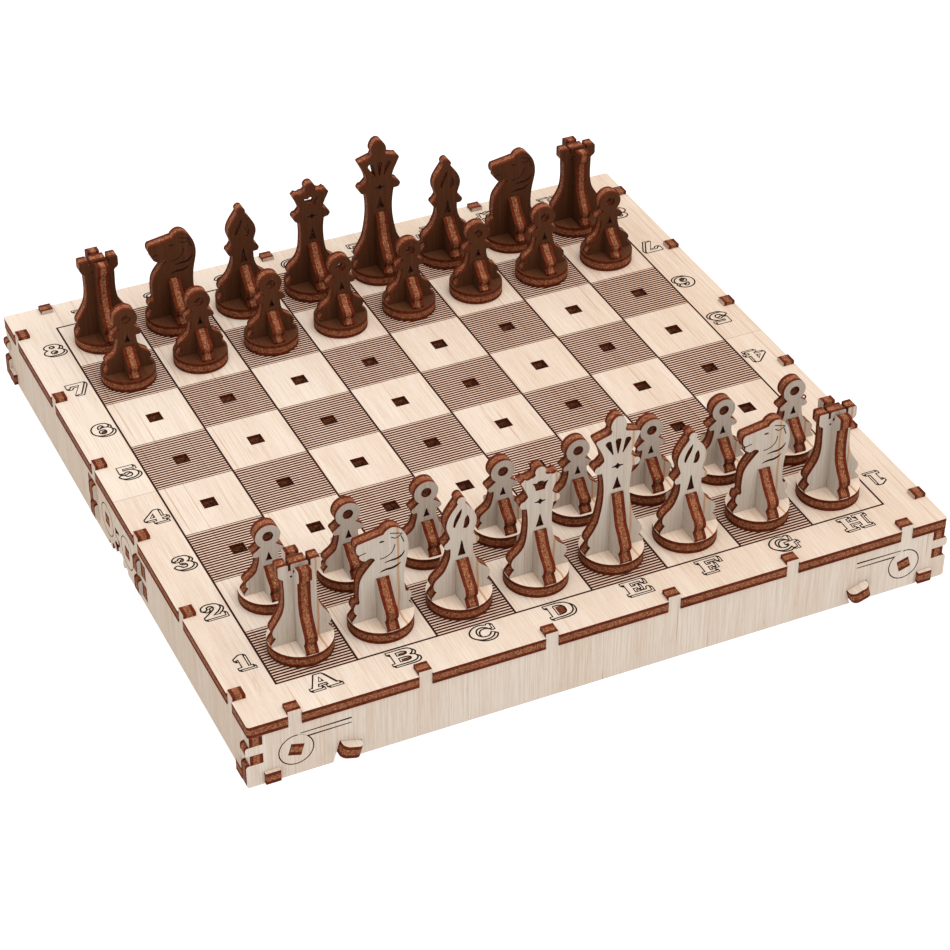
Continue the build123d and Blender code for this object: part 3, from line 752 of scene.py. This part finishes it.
def open_notch(plate, through):
    """Clears the notches of a rook's cross plate up to its slot, so that no thin prong is left."""
    if abs(through.x) < facing:
        return
    corners = [plate.matrix_world @ vertex.co for vertex in plate.data.vertices]
    middle = [(min(values) + max(values)) / 2 for values in zip(*corners)]
    height = board_top + (rook_notch_foot + rook_notch[2] / 2) * mm
    bpy.ops.object.select_all(action="DESELECT")
    bpy.ops.mesh.primitive_cube_add(size=mm, location=(middle[0], middle[1], height), scale=rook_notch)
    cutter = bpy.context.object
    only(plate)
    notch = plate.modifiers.new("notch", "BOOLEAN")
    notch.operation = "DIFFERENCE"
    notch.object = cutter
    bpy.ops.object.modifier_apply(modifier="notch")
    bpy.data.objects.remove(cutter)


# Painted shade: the white men's upright plates take a greyer, darker copy of the birch, for the shade in
# the corners between face plate, cross plate and base.
painted_shade_men_birch = dict(pale=tint(191, 182, 171), deep=tint(166, 145, 126), streak=tint(158, 120, 90))
stain = dict(pale=tint(88, 51, 31), deep=tint(62, 34, 19), streak=tint(106, 64, 38))
men_upright = plywood("men_upright", "Z", marks=men_marks, **painted_shade_men_birch)
# Painted light: the white men's bases take a lighter copy of the birch, so that their level tops read
# brighter under the light from above.
painted_light_base_birch = dict(birch, pale=tint(219, 204, 188), deep=tint(194, 160, 133))
men_level = plywood("men_level", "Y", marks=men_marks, **painted_light_base_birch)
dark_upright = plywood("dark_upright", "Z", **stain)
dark_level = plywood("dark_level", "Y", **stain)
back_row = ["rook_a", "knight_b", "bishop_c", "queen_d", "king_e", "bishop_f", "knight_g", "rook_h"]
file_letters = "abcdefgh"
front_row = [f"pawn_{letter}" for letter in file_letters]
for name in back_row + front_row:
    trim = open_notch if name.startswith("rook") else None
    white = cut_plates(f"white_{name}", men_level, men_upright, trim)
    black = cut_plates(f"black_{name}", dark_level, dark_upright, trim)


# Knights' heads: eye, mouth, cheek, ear and mane as lines burnt into the face plate's front,
# and char along the edges of the two slits that are cut through the neck.
# Places are from the middle of the man's square and up from the board, in millimetres.

neck_slits = [
    [(0.6, 22.25), (2.4, 22.4, 1), (4.3, 22.4, 1), (5.9, 23.05, 1), (6.9, 24.85), (5.9, 23.7, 1),
     (4.4, 22.95, 1), (2.8, 22.8, 1)],
    [(-0.8, 19.35), (1.2, 19.65, 1), (3.3, 19.65, 1), (4.7, 20.15, 1), (5.7, 21.15), (4.6, 20.65, 1),
     (3.1, 20.2, 1), (1.2, 20.15, 1)],
]
knight_lines = [
    [(-0.6, 29.8), (0.1, 30.0, 1), (0.8, 29.75)],
    [(-0.6, 29.8), (0.1, 29.6, 1), (0.8, 29.75)],
    [(-6.5, 27.1), (-4.6, 27.5)],
    [(4.0, 27.8), (3.6, 26.4, 1), (2.9, 25.2, 1), (1.2, 24.2, 1), (-0.5, 24.0)],
    [(2.6, 31.9), (4.8, 31.3, 1), (6.2, 30.8)],
    [(2.9, 30.5), (4.3, 29.8, 1), (6.0, 30.7)],
    [(5.8, 30.2), (6.7, 27.8)],
]
sheet = 3.9
knight_line = 0.16
slit_line = 0.07
on_front = (math.pi / 2, 0.0, 0.0)
dark_char = charred("dark_char", tint(24, 12, 7), tint(44, 24, 14))
for colour, rank, finish in (("white", 0, line_char), ("black", 7, dark_char)):
    drawn = [(traced(line, False), False) for line in knight_lines]
    cut = [(traced(slit, True), True) for slit in neck_slits]
    pattern = burnt_lines("knight_lines", drawn, knight_line, finish)
    edges = burnt_lines("slit_edges", cut, slit_line, finish)
    only(pattern)
    edges.select_set(True)
    bpy.ops.object.join()
    for column, letter in ((1, "b"), (6, "g")):
        spot = (square_middle(column) * mm, (square_middle(rank) - sheet / 2) * mm, board_top)
        lines = copy_to(pattern, f"{colour}_knight_{letter}_lines", spot, on_front)
        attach(lines, f"{colour}_knight_{letter}")
    bpy.data.objects.remove(pattern)


# Rooks' heads: small round holes burnt beside the slots where the two plates of a rook cross,
# one on each side of the middle, on the front of the face plate and the left of the cross plate.

dot_x = 2.5
front_dot_z = 26.7
side_dot_z = 28.4
dot_radius = 0.3
on_left = (math.pi / 2, 0.0, -math.pi / 2)
for colour, rank, finish in (("white", 0, line_char), ("black", 7, dark_char)):
    spots = [([((x - dot_radius) * mm, 0.0), ((x + dot_radius) * mm, 0.0)], False)
             for x in (-dot_x, dot_x)]
    pattern = burnt_lines("rook_dots", spots, dot_radius, finish)
    for column, letter in ((0, "a"), (7, "h")):
        x = square_middle(column)
        y = square_middle(rank)
        front_spot = (x * mm, (y - sheet / 2) * mm, board_top + front_dot_z * mm)
        side_spot = ((x - sheet / 2) * mm, y * mm, board_top + side_dot_z * mm)
        front = copy_to(pattern, f"{colour}_rook_{letter}_dots", front_spot, on_front)
        side = copy_to(pattern, "side_dots", side_spot, on_left)
        only(front)
        side.select_set(True)
        bpy.ops.object.join()
        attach(front, f"{colour}_rook_{letter}")
    bpy.data.objects.remove(pattern)


# Windows of the kings, queens, bishops and pawns: narrow points and four-pointed stars, cut through
# the face plates, with charred rims on the front. Heights are up from the top of the man's base.

man_foot = 3.95
rim_line = 0.16
waist_share = 0.45
hollow_share_x = 0.3
hollow_share_z = 0.32


def point_window(apex, foot, half):
    """Rim of a narrow window with its point up and its sides drawn in."""
    waist_x = half * waist_share
    waist_z = foot + (apex - foot) * waist_share
    return [(-half, foot), (half, foot), (waist_x, waist_z, 1), (0, apex), (-waist_x, waist_z, 1)]


def star_window(middle, half, rise):
    """Rim of a four-pointed window with hollow sides."""
    hollow_x = half * hollow_share_x
    hollow_z = rise * hollow_share_z
    tips = [(half, 0), (0, rise), (-half, 0), (0, -rise)]
    hollows = [(1, 1), (-1, 1), (-1, -1), (1, -1)]
    rim = []
    for (tip_x, tip_z), (side, up) in zip(tips, hollows):
        rim += [(tip_x, middle + tip_z), (side * hollow_x, middle + up * hollow_z, 1)]
    return rim


windows = {
    "king": [point_window(25.5, 21.6, 1.25), star_window(29.3, 1.8, 0.9)],
    "queen": [point_window(20.1, 15.9, 1.1), star_window(24.5, 1.7, 0.85)],
    "bishop": [point_window(18.7, 13.6, 1.05)],
    "pawn": [point_window(13.1, 10.5, 0.85)],
}
for colour, finish, back_rank, pawn_rank in (("white", line_char, 0, 1), ("black", dark_char, 7, 6)):
    for kind, outlines in windows.items():
        cut = [(traced(outline, True), True) for outline in outlines]
        pattern = burnt_lines("window_rims", cut, rim_line, finish)
        rank = pawn_rank if kind == "pawn" else back_rank
        y = square_middle(rank) - sheet / 2
        for name in back_row + front_row:
            if name.startswith(kind):
                x = square_middle(file_letters.index(name[-1]))
                spot = (x * mm, y * mm, board_top + man_foot * mm)
                rims = copy_to(pattern, f"{colour}_{name}_rims", spot, on_front)
                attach(rims, f"{colour}_{name}")
        bpy.data.objects.remove(pattern)


# Studio: a wide white floor that glows all round the board and is bare paper under it, an even
# white sky and one large soft light from above. The camera stands where the photograph was
# taken from.

floor_size = 8.0
floor_drop = 0.0002
under_board = 0.095
past_board = 0.107
camera_place = (-0.28354, -0.62717, 0.50809)
camera_turn = (0.932531, -0.001007, -0.434344)
bpy.ops.object.select_all(action="DESELECT")
bpy.ops.mesh.primitive_plane_add(size=floor_size, location=(0.0, 0.0, -floor_drop))
floor = bpy.context.object
floor.name = "studio_floor"
paper = bpy.data.materials.new("studio_paper")
paper.use_nodes = True
paper_shader = paper.node_tree.nodes["Principled BSDF"]
paper_start = Strand(paper.node_tree)
paper_place = paper_start.node("ShaderNodeTexCoord", out="Object")
outside = abs(paper_place.part("X")).larger(abs(paper_place.part("Y")))
outside = outside.rise(under_board, past_board)
glow = outside.between((0.0, 0.0, 0.0, 1.0), (1.0, 1.0, 1.0, 1.0))
bare = outside.between((0.85, 0.85, 0.85, 1.0), (0.2, 0.2, 0.2, 1.0))
paper.node_tree.links.new(glow.socket, paper_shader.inputs["Emission Color"])
paper.node_tree.links.new(bare.socket, paper_shader.inputs["Base Color"])
paper_shader.inputs["Roughness"].default_value = 0.9
paper_shader.inputs["Emission Strength"].default_value = 0.93
floor.data.materials.append(paper)

sky = bpy.data.worlds.new("studio_sky")
bpy.context.scene.world = sky
sky.use_nodes = True
sky.node_tree.nodes["Background"].inputs["Color"].default_value = (1.0, 1.0, 1.0, 1.0)
sky.node_tree.nodes["Background"].inputs["Strength"].default_value = 0.84

bpy.ops.object.light_add(type="SUN", rotation=(math.radians(8), math.radians(9), 0.0))
key = bpy.context.object
key.data.energy = 2.5
key.data.angle = math.radians(60)

bpy.ops.object.camera_add(location=camera_place, rotation=camera_turn)
camera = bpy.context.object
camera.data.sensor_width = 36.0
camera.data.lens = 103.542
camera.data.clip_start = 0.01
bpy.context.scene.camera = camera
bpy.context.scene.view_settings.view_transform = "Standard"
